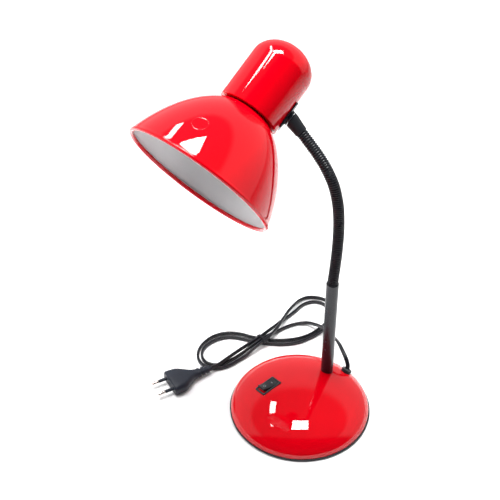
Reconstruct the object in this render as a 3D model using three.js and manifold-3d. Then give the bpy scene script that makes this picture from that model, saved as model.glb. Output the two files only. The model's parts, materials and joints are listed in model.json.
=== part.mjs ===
// Gooseneck desk lamp: a domed, weighted base, a rigid stem, a flexible neck and a bell-shaped shade.
// Millimetres, +Z up. The origin is the centre of the underside of the base. The stem stands on the +Y side.
import * as THREE from "three";
import { mergeVertices } from "three/addons/utils/BufferGeometryUtils.js";
import Module from "manifold-3d";

const wasm = await Module();
wasm.setup();

// ---- Driving dimensions ----
const GAP = 0.3; // between neighbouring pieces

const BASE_R = 80; // bottom plate
const PAD_R = 72;
const PAD_H = 1;
const PLATE_Z = PAD_H + GAP;
const PLATE_T = 1.6;
const COVER_R = 78.8; // outer radius of the domed cover at its edge
const COVER_Z = PLATE_Z + PLATE_T + GAP;
const COVER_RISE = 28.6;
const COVER_WALL = 1.6;

const WEIGHT_R = 64;
const WEIGHT_Z = PLATE_Z + PLATE_T + GAP;
const WEIGHT_T = 5;
const POST_RING_R = 52;
const POST_R = 4;
const POST_TOP = 23;
const POST_FIRST_ANGLE = -70; // degrees from +X, three posts 120 degrees apart

const STEM_Y = 46.9;
const STEM_R = 7;
const STEM_BORE_R = 5.8;
const STEM_TOP = 158.2;
const NIPPLE_R = 4.75; // M10 lamp nipple
const NIPPLE_BORE_R = 3.5;
const NIPPLE_HOLE_R = 5.05;

const SWITCH_X = -31;
const SWITCH_Y = -20;
const SWITCH_TURN = 8.5; // degrees from +Y towards +X, of its long side
const BEZEL_L = 26.5;
const BEZEL_W = 15.8;
const ROCKER_THROW = 24; // degrees between the two pressed positions

const BUSH_X = 12.3;
const BUSH_Y = 67.4;

const LINK_COUNT = 9;
const LINK_R = 5.9;
const BALL_R = 4.9;
const END_PLUG_R = 3.7; // of the last link, inside the collar
const FIRST_HINGE = 14; // along the neck, above the stem
const LAST_HINGE_BACK = 27; // along the neck, before the saddle
const COLLAR_L = 17;
const NECK_START_LEAN = 4.5; // degrees, away from the bend
const NECK_END_LEAN = 49.4; // degrees from vertical
const NECK_AZIMUTH = 187.6; // degrees from +X, the way the neck leans at its top
const NECK_START_PULL = 130; // handles of the neck's Bezier curve
const NECK_END_PULL = 72.6;

const HEAD_TILT = 57.2; // degrees from vertical towards +Y, of the shade's axis
const HEAD_TURN = 35.1; // degrees about that axis, to the side that carries the saddle
const RIM_CENTRE = new THREE.Vector3(-79.6, -70.4, 312.6);
const SHADE_ARC_R = 90.9; // half axes of the ellipse that the shade's outline follows
const SHADE_ARC_H = 158;
const SHADE_ARC_DROP = 69.6; // from the rim plane down to that ellipse's centre
const SHADE_WALL = 0.8;
const BEAD_R = 2.2; // rolled edge of the shade
const CROWN_HOLE_R = 20.5;
const CAP_R = 33;
const CAP_WALL = 1;
const CAP_BOTTOM = 82; // heights above the rim plane, along the head's axis
const CAP_SHOULDER = 137;
const CAP_DOME_RISE = 26;
const CAP_FLANGE_R = 26.2; // inner radius of the cap's turned-in lower edge
const ATTACH_H = 103;
const SADDLE_T = 1.6;
const COLLAR_BASE = 36.6; // from the head's axis

const CORD_R = 1.7;
const TIE_AT = new THREE.Vector3(-103.2, 47, 8.85);
const PLUG_FACE = new THREE.Vector3(-131, -81, 7);
const PLUG_ANGLE = 72; // degrees from +X, from the pins towards the cord
const PLUG_L = 54;
const PIN_PITCH = 18.6;

const ENAMEL_RED = 0xd8102a;
const BLACK = 0x16181c;
const STEEL = 0xb9bcc0;
const BRASS = 0xc8a050;

const rad = THREE.MathUtils.degToRad;
const lamp = new THREE.Group();

// ---- Solids ----
function solidOf(geometry) {
  const bare = geometry.clone();
  bare.deleteAttribute("normal");
  bare.deleteAttribute("uv");
  const merged = mergeVertices(bare, 1e-4);
  const vertProperties = merged.attributes.position.array;
  const triVerts = new Uint32Array(merged.index.array);
  return new wasm.Manifold(new wasm.Mesh({ numProp: 3, vertProperties, triVerts }));
}

function geometryOf(solid) {
  const mesh = solid.getMesh();
  const geometry = new THREE.BufferGeometry();
  geometry.setAttribute("position", new THREE.BufferAttribute(mesh.vertProperties, 3));
  geometry.setIndex(new THREE.BufferAttribute(mesh.triVerts, 1));
  geometry.computeVertexNormals();
  return geometry;
}

function cut(geometry, ...tools) {
  return geometryOf(tools.reduce((body, tool) => body.subtract(solidOf(tool)), solidOf(geometry)));
}

function join(geometry, ...others) {
  return geometryOf(others.reduce((body, other) => body.add(solidOf(other)), solidOf(geometry)));
}

function common(geometry, other) {
  return geometryOf(solidOf(geometry).intersect(solidOf(other)));
}

// A turned solid about +Z. The profile runs anticlockwise, as [radius, height] points.
function turned(profile, segments = 24) {
  const points = profile.map(([r, h]) => new THREE.Vector2(r, h));
  return new THREE.LatheGeometry(points, segments).rotateX(Math.PI / 2);
}

function rod(radius, bottom, top, segments = 20) {
  return turned([[0, bottom], [radius, bottom], [radius, top], [0, top]], segments);
}

function ring(inner, outer, bottom, top, segments = 24) {
  const profile = [[inner, bottom], [outer, bottom], [outer, top], [inner, top], [inner, bottom]];
  return turned(profile, segments);
}

function hexNut(across, bore, bottom, top) {
  return cut(rod(across / Math.sqrt(3), bottom, top, 6), rod(bore, bottom - 1, top + 1));
}

function block(x0, x1, y0, y1, z0, z1) {
  const box = new THREE.BoxGeometry(x1 - x0, y1 - y0, z1 - z0);
  return box.translate((x0 + x1) / 2, (y0 + y1) / 2, (z0 + z1) / 2);
}

// An outline in the XY plane, extruded from one height to another.
function slab(outline, bottom, top) {
  const shape = new THREE.Shape(outline.map(([x, y]) => new THREE.Vector2(x, y)));
  const geometry = new THREE.ExtrudeGeometry(shape, { depth: top - bottom, bevelEnabled: false });
  return geometry.translate(0, 0, bottom);
}

// A round wire along a smooth curve through the points.
function wire(points, radius, steps, sides = 8) {
  const section = new THREE.Shape();
  for (let i = 0; i < sides; i += 1) {
    const angle = (2 * Math.PI * i) / sides;
    const x = radius * Math.cos(angle);
    const y = radius * Math.sin(angle);
    if (i === 0) section.moveTo(x, y);
    else section.lineTo(x, y);
  }
  const path = new THREE.CatmullRomCurve3(points.map((p) => new THREE.Vector3(...p)));
  return new THREE.ExtrudeGeometry(section, { steps, extrudePath: path, curveSegments: 1 });
}

// The points of an outline moved along its normal, to the right of the way it runs.
function offset(profile, distance) {
  return profile.map(([r, h], i) => {
    const [r0, h0] = profile[Math.max(i - 1, 0)];
    const [r1, h1] = profile[Math.min(i + 1, profile.length - 1)];
    const length = Math.hypot(r1 - r0, h1 - h0);
    return [Math.max(r + (distance * (h1 - h0)) / length, 0), h - (distance * (r1 - r0)) / length];
  });
}

// A frame with its z axis along one direction and its x axis as near as it can be to another.
function frameAt(origin, zAxis, xHint) {
  const z = zAxis.clone().normalize();
  const x = xHint.clone().addScaledVector(z, -xHint.dot(z)).normalize();
  const y = new THREE.Vector3().crossVectors(z, x);
  return new THREE.Matrix4().makeBasis(x, y, z).setPosition(origin);
}

function place(parent, name, geometry, color, roughness, metalness) {
  const mesh = new THREE.Mesh(geometry, new THREE.MeshStandardMaterial({ color, roughness, metalness }));
  mesh.name = name;
  parent.add(mesh);
}

const enamel = (parent, name, geometry) => place(parent, name, geometry, ENAMEL_RED, 0.22, 0.1);
const plastic = (parent, name, geometry) => place(parent, name, geometry, BLACK, 0.5, 0);
const steel = (parent, name, geometry) => place(parent, name, geometry, STEEL, 0.35, 1);
const brass = (parent, name, geometry) => place(parent, name, geometry, BRASS, 0.3, 1);

// ---- Base ----
const COVER_STEPS = 9;
const ROUND = 40; // sides of the large round pieces

function coverProfile(steps) {
  const points = [];
  for (let i = 0; i <= steps; i += 1) {
    const angle = (Math.PI / 2) * (i / steps);
    const h = COVER_Z + COVER_RISE * Math.sin(angle);
    points.push([i === steps ? 0 : COVER_R * Math.cos(angle), h]);
  }
  return points;
}

function coverHeight(x, y) {
  return COVER_Z + COVER_RISE * Math.sqrt(1 - (Math.hypot(x, y) / COVER_R) ** 2);
}

function coverNormal(x, y) {
  const step = 0.01;
  const slopeX = (coverHeight(x + step, y) - coverHeight(x - step, y)) / (2 * step);
  const slopeY = (coverHeight(x, y + step) - coverHeight(x, y - step)) / (2 * step);
  return new THREE.Vector3(-slopeX, -slopeY, 1).normalize();
}

// Everything under the dome's outer surface, moved out by a distance.
function underDome(distance) {
  const profile = offset(coverProfile(COVER_STEPS), distance);
  profile[profile.length - 1][0] = 0;
  return turned([[0, 0], [profile[0][0], 0], ...profile], ROUND);
}

function postSpots() {
  return [0, 1, 2].map((i) => {
    const angle = rad(POST_FIRST_ANGLE + 120 * i);
    return [POST_RING_R * Math.cos(angle), POST_RING_R * Math.sin(angle)];
  });
}

const switchFrame = frameAt(
  new THREE.Vector3(SWITCH_X, SWITCH_Y, coverHeight(SWITCH_X, SWITCH_Y)),
  coverNormal(SWITCH_X, SWITCH_Y),
  new THREE.Vector3(Math.sin(rad(SWITCH_TURN)), Math.cos(rad(SWITCH_TURN)), 0),
);
const bushFrame = frameAt(
  new THREE.Vector3(BUSH_X, BUSH_Y, coverHeight(BUSH_X, BUSH_Y)),
  coverNormal(BUSH_X, BUSH_Y),
  new THREE.Vector3(1, 0, 0),
);

function baseCover() {
  const outer = coverProfile(COVER_STEPS);
  const inner = offset(outer, -COVER_WALL);
  inner[0][1] = COVER_Z;
  inner[inner.length - 1][0] = 0;
  const shell = turned([...inner.reverse(), ...outer], ROUND);
  const posts = postSpots().map(([x, y]) => rod(POST_R, WEIGHT_Z, POST_TOP, 12).translate(x, y, 0));
  const screwHoles = postSpots().map(([x, y]) => rod(1.9, 0, WEIGHT_Z + 10, 10).translate(x, y, 0));
  const stemHole = rod(NIPPLE_HOLE_R, COVER_Z, 60).translate(0, STEM_Y, 0);
  const switchHole = block(-12.7, 12.7, -7.1, 7.1, -8, 8).applyMatrix4(switchFrame);
  const bushHole = rod(4, -8, 8).applyMatrix4(bushFrame);
  return cut(join(shell, ...posts), ...screwHoles, stemHole, switchHole, bushHole);
}

function bottomPlate() {
  const floor = PLATE_Z + PLATE_T;
  const edge = 0.6;
  const profile = [[0, PLATE_Z], [BASE_R - edge, PLATE_Z], [BASE_R, PLATE_Z + edge], [BASE_R, floor]];
  const holes = postSpots().flatMap(([x, y]) => [
    rod(2.2, 0, floor + 1, 12).translate(x, y, 0),
    rod(4, 0, floor - 0.7, 16).translate(x, y, 0),
  ]);
  return cut(turned([...profile, [0, floor]], ROUND), ...holes);
}

function baseWeight() {
  const top = WEIGHT_Z + WEIGHT_T;
  const profile = [[0, WEIGHT_Z], [WEIGHT_R, WEIGHT_Z], [WEIGHT_R, top - 1], [WEIGHT_R - 1, top], [0, top]];
  const holes = postSpots().map(([x, y]) => rod(POST_R + 1, 0, top + 1, 12).translate(x, y, 0));
  return cut(turned(profile, 36), ...holes);
}

function plateScrew() {
  const head = PLATE_Z;
  return turned([[0, head], [3.6, head], [3.6, head + 0.6], [1.6, head + 0.6], [1.6, 12], [0, 12]], 10);
}

function buildBase() {
  plastic(lamp, "base_pad", rod(PAD_R, 0, PAD_H, 40));
  plastic(lamp, "bottom_plate", bottomPlate());
  steel(lamp, "base_weight", baseWeight());
  enamel(lamp, "base_cover", baseCover());
  postSpots().forEach(([x, y], i) => {
    steel(lamp, `plate_screw_${i + 1}`, plateScrew().translate(x, y, 0));
  });
}

// ---- Stem ----
function buildStem() {
  const stem = new THREE.Group();
  stem.position.set(0, STEM_Y, 0);
  lamp.add(stem);
  const domeHere = underDome(GAP).translate(0, -STEM_Y, 0);
  const cavityHere = underDome(-COVER_WALL - GAP).translate(0, -STEM_Y, 0);
  plastic(stem, "stem_tube", cut(ring(STEM_BORE_R, STEM_R, 20, STEM_TOP), domeHere));
  steel(stem, "stem_nipple", ring(NIPPLE_BORE_R, NIPPLE_R, 12.9, 44, 16));
  steel(stem, "stem_washer", common(ring(NIPPLE_HOLE_R, 11, 18.9, 32, 20), cavityHere));
  steel(stem, "stem_nut", hexNut(14, NIPPLE_HOLE_R, 14.6, 18.6));
}

// ---- Switch ----
const ROCKER_HALF = 10.6;
const ROCKER_W = 11;
const BEZEL_TOP = 0.9;

function switchHousing() {
  const domeHere = underDome(GAP).applyMatrix4(switchFrame.clone().invert());
  const bezelBlock = block(-BEZEL_L / 2, BEZEL_L / 2, -BEZEL_W / 2, BEZEL_W / 2, -2.5, BEZEL_TOP);
  const body = block(-12.4, 12.4, -6.8, 6.8, -12, 0.6);
  const pocket = block(-11.6, 11.6, -5.9, 5.9, -5, 5);
  return cut(join(cut(bezelBlock, domeHere), body), pocket);
}

function switchRocker() {
  const side = [[-3, -2.6], [3, -2.6], [ROCKER_HALF, 0.2], [ROCKER_HALF, 3.3], [0, 1.6]];
  side.push([-ROCKER_HALF, 3.3], [-ROCKER_HALF, 0.2]);
  const rocker = slab(side, -ROCKER_W / 2, ROCKER_W / 2).rotateX(Math.PI / 2);
  return rocker.rotateY(rad(ROCKER_THROW / 2));
}

function buildSwitch() {
  const group = new THREE.Group();
  group.applyMatrix4(switchFrame);
  lamp.add(group);
  plastic(group, "switch_housing", switchHousing());
  plastic(group, "switch_rocker", switchRocker());
  [-4, 4].forEach((x, i) => {
    brass(group, `switch_terminal_${i + 1}`, block(x - 0.4, x + 0.4, -2.4, 2.4, -17, -12.3));
  });
}

// ---- Cord bush and the leads inside the base ----
function buildWiring() {
  const bush = new THREE.Group();
  bush.applyMatrix4(bushFrame);
  lamp.add(bush);
  const domeHere = underDome(GAP).applyMatrix4(bushFrame.clone().invert());
  const flange = cut(rod(6, -1, 3.6, 20), domeHere);
  plastic(bush, "cord_bush", join(flange, rod(3.7, -4.5, 1, 16)));
  const terminal = (x) => new THREE.Vector3(x, 0, -18.3).applyMatrix4(switchFrame).toArray();
  const inside = new THREE.Vector3(0, 0, -5.4).applyMatrix4(bushFrame);
  const { x, y, z } = inside;
  const liveEnd = terminal(4);
  const switchedEnd = terminal(-4);
  const live = [[x + 1.6, y, z], [x + 8, y - 9, 11], [x + 4, 25, 10.5], [-10, 0, 10.5]];
  live.push([liveEnd[0] + 4, liveEnd[1] + 1, 10], liveEnd);
  const neutral = [[x - 1.6, y, z], [x - 2, y - 7, 11.5], [7, STEM_Y + 4, 9.8], [2, STEM_Y, 10.4]];
  neutral.push([1.3, STEM_Y, 13.5], [1.3, STEM_Y, 30]);
  const switched = [switchedEnd, [-35, -24.5, 9.7], [-38, -4, 9.8], [-24, 26, 9.8]];
  switched.push([-8, STEM_Y - 6, 9.8], [-1.5, STEM_Y, 12.4], [-1.3, STEM_Y, 30]);
  place(lamp, "lead_live", wire(live, 1, 24, 6), 0x6b3a1e, 0.5, 0);
  place(lamp, "lead_neutral", wire(neutral, 1, 20, 6), 0x2457a8, 0.5, 0);
  place(lamp, "lead_switched", wire(switched, 1, 24, 6), 0x6b3a1e, 0.5, 0);
}

// ---- Head frame: x to the side that carries the saddle, z up the shade's axis ----
const head = new THREE.Group();
head.position.copy(RIM_CENTRE);
head.rotation.set(-rad(HEAD_TILT), 0, rad(HEAD_TURN));
lamp.add(head);
head.updateMatrixWorld(true);
const saddlePoint = head.localToWorld(new THREE.Vector3(COLLAR_BASE, 0, ATTACH_H));

// ---- Neck ----
function leaning(lean, azimuth) {
  const across = Math.sin(rad(lean));
  return new THREE.Vector3(
    across * Math.cos(rad(azimuth)),
    across * Math.sin(rad(azimuth)),
    Math.cos(rad(lean)),
  );
}

const neckFoot = new THREE.Vector3(0, STEM_Y, STEM_TOP);
const neckEndDirection = leaning(NECK_END_LEAN, NECK_AZIMUTH);
const neckCurve = new THREE.CubicBezierCurve3(
  neckFoot,
  neckFoot.clone().addScaledVector(leaning(-NECK_START_LEAN, NECK_AZIMUTH), NECK_START_PULL),
  saddlePoint.clone().addScaledVector(neckEndDirection, -NECK_END_PULL),
  saddlePoint,
);

function neckHinges() {
  const length = neckCurve.getLength();
  const last = length - LAST_HINGE_BACK;
  const spots = [];
  for (let i = 0; i < LINK_COUNT - 1; i += 1) {
    const along = FIRST_HINGE + ((last - FIRST_HINGE) * i) / (LINK_COUNT - 2);
    spots.push(neckCurve.getPointAt(along / length));
  }
  return spots;
}

// The hollow at a link's upper end takes the ball of the next link.
function socketProfile(length) {
  const socket = BALL_R + GAP;
  const points = [[LINK_R, length - 0.4]];
  for (let i = 0; i <= 3; i += 1) {
    const angle = rad(5 + (85 * i) / 3);
    points.push([i === 3 ? 0 : socket * Math.cos(angle), length - socket * Math.sin(angle)]);
  }
  return points;
}

function ballProfile() {
  const points = [];
  for (let i = 0; i <= 3; i += 1) {
    const angle = rad(90 - (90 * i) / 3);
    points.push([i === 0 ? 0 : BALL_R * Math.cos(angle), -BALL_R * Math.sin(angle)]);
  }
  return [...points, [BALL_R, 1.5], [LINK_R, 2.4]];
}

function neckLink(length) {
  return turned([...ballProfile(), ...socketProfile(length)], 12);
}

function between(low, high) {
  return frameAt(low, new THREE.Vector3().subVectors(high, low), new THREE.Vector3(0, 1, 0));
}

function neckEndLink(length) {
  const plugTop = length - COLLAR_L + 6;
  const shoulder = length - COLLAR_L - 2 * GAP;
  const plug = [[END_PLUG_R, shoulder], [END_PLUG_R, plugTop], [0, plugTop]];
  return turned([...ballProfile(), [LINK_R, shoulder], ...plug], 14);
}

function firstNeckLink(upper) {
  const length = upper.distanceTo(neckFoot);
  const body = turned([[0, 0.8], [LINK_R, 0.8], ...socketProfile(length)], 14);
  const plug = rod(STEM_BORE_R - GAP, -20, 2.5, 14).translate(0, STEM_Y, STEM_TOP);
  return join(body.applyMatrix4(between(neckFoot, upper)), plug);
}

// The sleeve is cut at the saddle's face and takes the last link and the nipple.
function neckCollar() {
  const outwards = neckEndDirection.clone().negate();
  const along = frameAt(saddlePoint, outwards, new THREE.Vector3(0, 1, 0));
  const sleeve = turned([[0, -4], [7.4, -4], [7.4, 3], [6.4, COLLAR_L], [0, COLLAR_L]], 20);
  const linkHole = rod(END_PLUG_R + 3 * GAP, COLLAR_L - 7, COLLAR_L + 1, 14);
  const facing = head.matrixWorld;
  const beyond = block(-20, COLLAR_BASE, -30, 30, ATTACH_H - 30, ATTACH_H + 30).applyMatrix4(facing);
  const nippleHole = rod(NIPPLE_HOLE_R, -2, 7, 16).applyMatrix4(nippleFrame());
  return cut(sleeve.applyMatrix4(along), linkHole.applyMatrix4(along), beyond, nippleHole);
}

// Along the saddle's outward normal, from the saddle's face.
function nippleFrame() {
  const outwards = new THREE.Vector3(1, 0, 0).transformDirection(head.matrixWorld);
  const axis = new THREE.Vector3(0, 0, 1).transformDirection(head.matrixWorld);
  return frameAt(saddlePoint, outwards, axis);
}

const NUT_FACE = -8.2; // from the saddle's face, inwards

function buildNeck() {
  const hinges = neckHinges();
  plastic(lamp, "neck_link_1", firstNeckLink(hinges[0]));
  hinges.slice(0, -1).forEach((low, i) => {
    const link = neckLink(low.distanceTo(hinges[i + 1]));
    plastic(lamp, `neck_link_${i + 2}`, link.applyMatrix4(between(low, hinges[i + 1])));
  });
  const low = hinges[hinges.length - 1];
  const last = neckEndLink(low.distanceTo(saddlePoint)).applyMatrix4(between(low, saddlePoint));
  plastic(lamp, `neck_link_${LINK_COUNT}`, last);
  plastic(lamp, "neck_collar", neckCollar());
  const fittings = new THREE.Group();
  fittings.applyMatrix4(nippleFrame());
  lamp.add(fittings);
  steel(fittings, "neck_nipple", ring(NIPPLE_BORE_R, NIPPLE_R, -12.6, 6.5, 16));
  steel(fittings, "swivel_washer", ring(NIPPLE_HOLE_R, 8.2, NUT_FACE - 0.5, NUT_FACE, 20));
  steel(fittings, "swivel_nut", hexNut(14, NIPPLE_HOLE_R, NUT_FACE - 3.8, NUT_FACE - 0.8));
}

// ---- Head ----
function shadeProfile(bottom, steps) {
  const first = Math.asin((bottom + SHADE_ARC_DROP) / SHADE_ARC_H);
  const last = Math.acos(CROWN_HOLE_R / SHADE_ARC_R);
  const points = [];
  for (let i = 0; i <= steps; i += 1) {
    const angle = first + ((last - first) * i) / steps;
    points.push([SHADE_ARC_R * Math.cos(angle), SHADE_ARC_H * Math.sin(angle) - SHADE_ARC_DROP]);
  }
  return points;
}

function shade() {
  const outer = shadeProfile(1.5, 8);
  const inner = offset(outer, -SHADE_WALL).reverse();
  inner[0][0] = CROWN_HOLE_R;
  const [rimR] = outer[0];
  const beadCentre = rimR + 0.6 - BEAD_R;
  const bead = [];
  for (let i = 0; i <= 3; i += 1) {
    const angle = rad(75 + 90 * i);
    bead.push([beadCentre + BEAD_R * Math.cos(angle), 0.2 + BEAD_R * Math.sin(angle)]);
  }
  const profile = [...inner.slice(0, -1), ...bead, ...outer.slice(1), inner[0]];
  return turned(profile, ROUND);
}

function cap() {
  const dome = (radius, rise) => {
    const points = [];
    for (let i = 1; i <= 5; i += 1) {
      const angle = (Math.PI / 2) * (i / 5);
      points.push([i === 5 ? 0 : radius * Math.cos(angle), CAP_SHOULDER + rise * Math.sin(angle)]);
    }
    return points;
  };
  const inner = CAP_R - CAP_WALL;
  const flangeTop = CAP_BOTTOM + CAP_WALL;
  const inside = [[CAP_FLANGE_R, CAP_BOTTOM], [CAP_FLANGE_R, flangeTop], [inner, flangeTop]];
  inside.push([inner, CAP_SHOULDER], ...dome(inner, CAP_DOME_RISE - CAP_WALL));
  const outside = [[CAP_R, CAP_BOTTOM], [CAP_R, CAP_SHOULDER], ...dome(CAP_R, CAP_DOME_RISE)];
  return cut(turned([...inside.reverse(), ...outside], 32), sideRod(NIPPLE_HOLE_R, 20, 40));
}

// A rod along the head's x axis at the height of the saddle.
function sideRod(radius, from, to) {
  return rod(radius, from, to, 16).rotateY(Math.PI / 2).translate(0, 0, ATTACH_H);
}

function saddlePlate() {
  const inner = CAP_R + GAP;
  const outer = inner + SADDLE_T;
  const patch = block(0, 60, -10.5, 10.5, ATTACH_H - 15, ATTACH_H + 15);
  const plate = common(ring(inner, outer, ATTACH_H - 20, ATTACH_H + 20, 64), patch);
  const boss = cut(sideRod(8, inner - 3, COLLAR_BASE - GAP), rod(inner, 0, 200, 64));
  return cut(join(plate, boss), sideRod(NIPPLE_HOLE_R, 20, 40));
}

const HOLDER_TOP = 121.5;

function lampholderShell() {
  const top = HOLDER_TOP;
  const profile = [[17.2, 68], [19.7, 68], [19.7, 84.6], [23.5, 84.6], [23.5, 88], [20.5, 90.5]];
  profile.push([19, top], [NIPPLE_BORE_R, top], [NIPPLE_BORE_R, top - 3], [17.2, top - 3], [17.2, 68]);
  const screwHoles = [-9, 9].map((x) => rod(1.8, top - 5, top + 1, 8).translate(x, 0, 0));
  return cut(turned(profile, 24), ...screwHoles);
}

function lampholderCore() {
  const top = HOLDER_TOP - 3.3;
  return turned([[0, 103], [14.6, 103], [14.6, 71], [16.9, 71], [16.9, top], [0, top]], 24);
}

// The Edison thread, as a corrugated sleeve.
function socketThread() {
  const outside = [];
  const turns = 5;
  for (let i = 0; i <= 2 * turns; i += 1) {
    outside.push([i % 2 ? 14.2 : 13.5, 74 + (26 * i) / (2 * turns)]);
  }
  const inside = outside.map(([r, h]) => [r - 0.6, h]).reverse();
  return turned([...outside, ...inside, outside[0]], 16);
}

function centreContact() {
  const side = [[-9, 102.7], [-9, 101.9], [-3.4, 101.9], [2.6, 97.2], [7, 97.2], [7, 98]];
  side.push([3, 98], [-3, 102.7]);
  return slab(side, -3, 3).rotateX(Math.PI / 2);
}

function holderBracket() {
  const top = HOLDER_TOP + GAP + 1.5;
  const upright = block(28.7, 30.2, -8, 8, ATTACH_H - 11, top);
  const arm = block(-13, 30.2, -8, 8, HOLDER_TOP + GAP, top);
  const holes = [-9, 9].map((x) => rod(1.8, HOLDER_TOP - 5, top + 1, 8).translate(x, 0, 0));
  const wireHole = rod(NIPPLE_BORE_R, HOLDER_TOP - 5, top + 1, 12);
  return cut(join(upright, arm), sideRod(NIPPLE_HOLE_R, 20, 40), wireHole, ...holes);
}

function bracketScrew() {
  const seat = HOLDER_TOP + GAP + 1.5 + GAP;
  const profile = [[0, HOLDER_TOP - 2.6], [1.5, HOLDER_TOP - 2.6], [1.5, seat], [3, seat]];
  return turned([...profile, [3, seat + 1.4], [2, seat + 2], [0, seat + 2]], 10);
}

function shadeRing() {
  return turned([[20.1, 73.5], [26.5, 73.5], [26.5, 79], [23, 81], [20.1, 81], [20.1, 73.5]], 32);
}

function buildHead() {
  enamel(head, "shade", shade());
  enamel(head, "cap", cap());
  plastic(head, "saddle_plate", saddlePlate());
  plastic(head, "lampholder_shell", lampholderShell());
  place(head, "lampholder_core", lampholderCore(), 0xe9e6df, 0.4, 0);
  brass(head, "socket_thread", socketThread());
  brass(head, "centre_contact", centreContact());
  plastic(head, "shade_ring", shadeRing());
  steel(head, "holder_bracket", holderBracket());
  [-9, 9].forEach((x, i) => {
    steel(head, `bracket_screw_${i + 1}`, bracketScrew().translate(x, 0, 0));
  });
  const lead = [[22.7, 0, ATTACH_H], [22.5, 5, 108], [21.5, 11, 117], [14, 12, 127], [6, 5, 131.5]];
  lead.push([0, 0, 129], [0, 0, HOLDER_TOP - 2]);
  place(head, "head_lead", wire(lead, 1.1, 24, 6), 0xd8d8d4, 0.5, 0);
}

// ---- Mains cord, its tie and its plug ----
// From the bush over the back of the base, through the tie, twice round both loops of the
// figure-of-eight hank, and through the tie again to the plug.
const CORD_ROUTE = [
  [12.7, 69.8, 21.2], [11.5, 71.3, 25], [6, 74, 30.5], [-2.5, 78, 34], [-12.5, 83.5, 35], [-26, 91, 31.5],
  [-42, 99.5, 24.5], [-58, 108, 16], [-71.5, 112, 9], [-82.5, 112, 5], [-91.5, 106, 3], [-97.5, 95.5, 2.7],
  [-101, 84, 2.7], [-102.6, 73, 3.2], [-103, 59, 6.8], [-103.2, 46, 8.8],
  // inner turn of the near loop
  [-104.8, 30, 7], [-107.2, 14, 3.4], [-109.5, -2, 2.7], [-112.3, -13.5, 2.7], [-118.8, -20.8, 2.7],
  [-128, -24, 2.7], [-137, -21.5, 2.7], [-144, -15, 2.7], [-148, -6, 2.7], [-148.5, 4, 2.7],
  [-146, 15, 2.7], [-140.5, 25, 2.7], [-130, 33, 2.7], [-116.5, 39.5, 2.7], [-103.5, 46.5, 2.7],
  // outer turn of the far loop
  [-90.5, 55.5, 2.7], [-79, 66.5, 2.7], [-70.5, 79, 2.7], [-65.5, 94, 2.7], [-63, 111, 2.7],
  [-64, 129.5, 2.7], [-71.5, 147, 2.7], [-84, 158.5, 2.7], [-98, 161.5, 2.7], [-109.5, 157, 2.8],
  [-117.5, 148.5, 3.2], [-120, 137, 4], [-118, 123.5, 6], [-113.5, 107.5, 8.2], [-108.5, 92, 8.8],
  [-102.4, 73.5, 8.8], [-99.6, 59, 8.8], [-99.2, 46, 8.8],
  // outer turn of the near loop
  [-100, 31, 7.2], [-101, 17.5, 3.6], [-102.5, 2.5, 2.7], [-105, -11, 2.7], [-110.5, -21.5, 2.7],
  [-119.5, -28, 2.7], [-130, -29.5, 2.7], [-140.5, -25.5, 2.7], [-149, -16.5, 2.7], [-154, -3, 2.7],
  [-154.5, 10.5, 2.7], [-150.5, 23, 2.7], [-143.5, 32.5, 2.7], [-133, 40, 2.7], [-121, 45, 2.7],
  [-109.5, 50.5, 2.7],
  // inner turn of the far loop
  [-97.5, 58, 2.7], [-86, 69, 2.7], [-76, 82, 2.7], [-70, 96.5, 2.7], [-68, 112.5, 2.7],
  [-69, 128.5, 2.7], [-76, 143.5, 2.7], [-87, 152.5, 2.7], [-97.5, 153.5, 2.7], [-106, 149, 2.7],
  [-110.8, 141, 2.7], [-112.5, 131, 2.7], [-111.5, 119.5, 2.7], [-111, 107, 2.8], [-111.5, 94, 3],
  [-110.4, 80, 4.2], [-108.2, 63, 7.4], [-107.2, 47, 8.8],
  // to the plug
  [-108.4, 31, 8.8], [-109.4, 16, 8.7], [-110.2, 2, 8.5], [-110.8, -11, 8],
  [-112, -21.5, 7.3], [-114.15, -29.1, 7],
];

function cordTie() {
  const outline = (reach, rise, corner) => [
    [corner - reach, -rise], [reach - corner, -rise], [reach, corner - rise], [reach, rise - corner],
    [reach - corner, rise], [corner - reach, rise], [-reach, rise - corner], [-reach, corner - rise],
  ];
  const band = cut(slab(outline(7.2, 3.5, 1.6), -1.6, 1.6), slab(outline(6.4, 2.9, 1.3), -3, 3));
  return band.rotateX(Math.PI / 2).translate(TIE_AT.x, TIE_AT.y, TIE_AT.z);
}

function plugBody() {
  const half = [[0, 16.6], [1.5, 17.65], [13, 17], [20, 13.2], [28, 7.4], [34, 5.6]];
  const ribs = [0, 1, 2].flatMap((i) => {
    const start = 36 + 5.5 * i;
    const w = 5.6 - 0.5 * i;
    return [[start, w], [start + 3.5, w], [start + 3.5, 3.6], [start + 5.5, 3.6]];
  });
  const side = [...half, ...ribs, [PLUG_L, 3.6]];
  const plan = [...side.map(([x, y]) => [x, -y]), ...side.slice().reverse()];
  const height = [[-1, -6.8], [14, -6.8], [34, -4.6], [PLUG_L + 1, -3.8], [PLUG_L + 1, 3.8]];
  height.push([34, 4.6], [14, 6.8], [-1, 6.8]);
  return common(slab(plan, -8, 8), slab(height, -20, 20).rotateX(Math.PI / 2));
}

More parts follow.
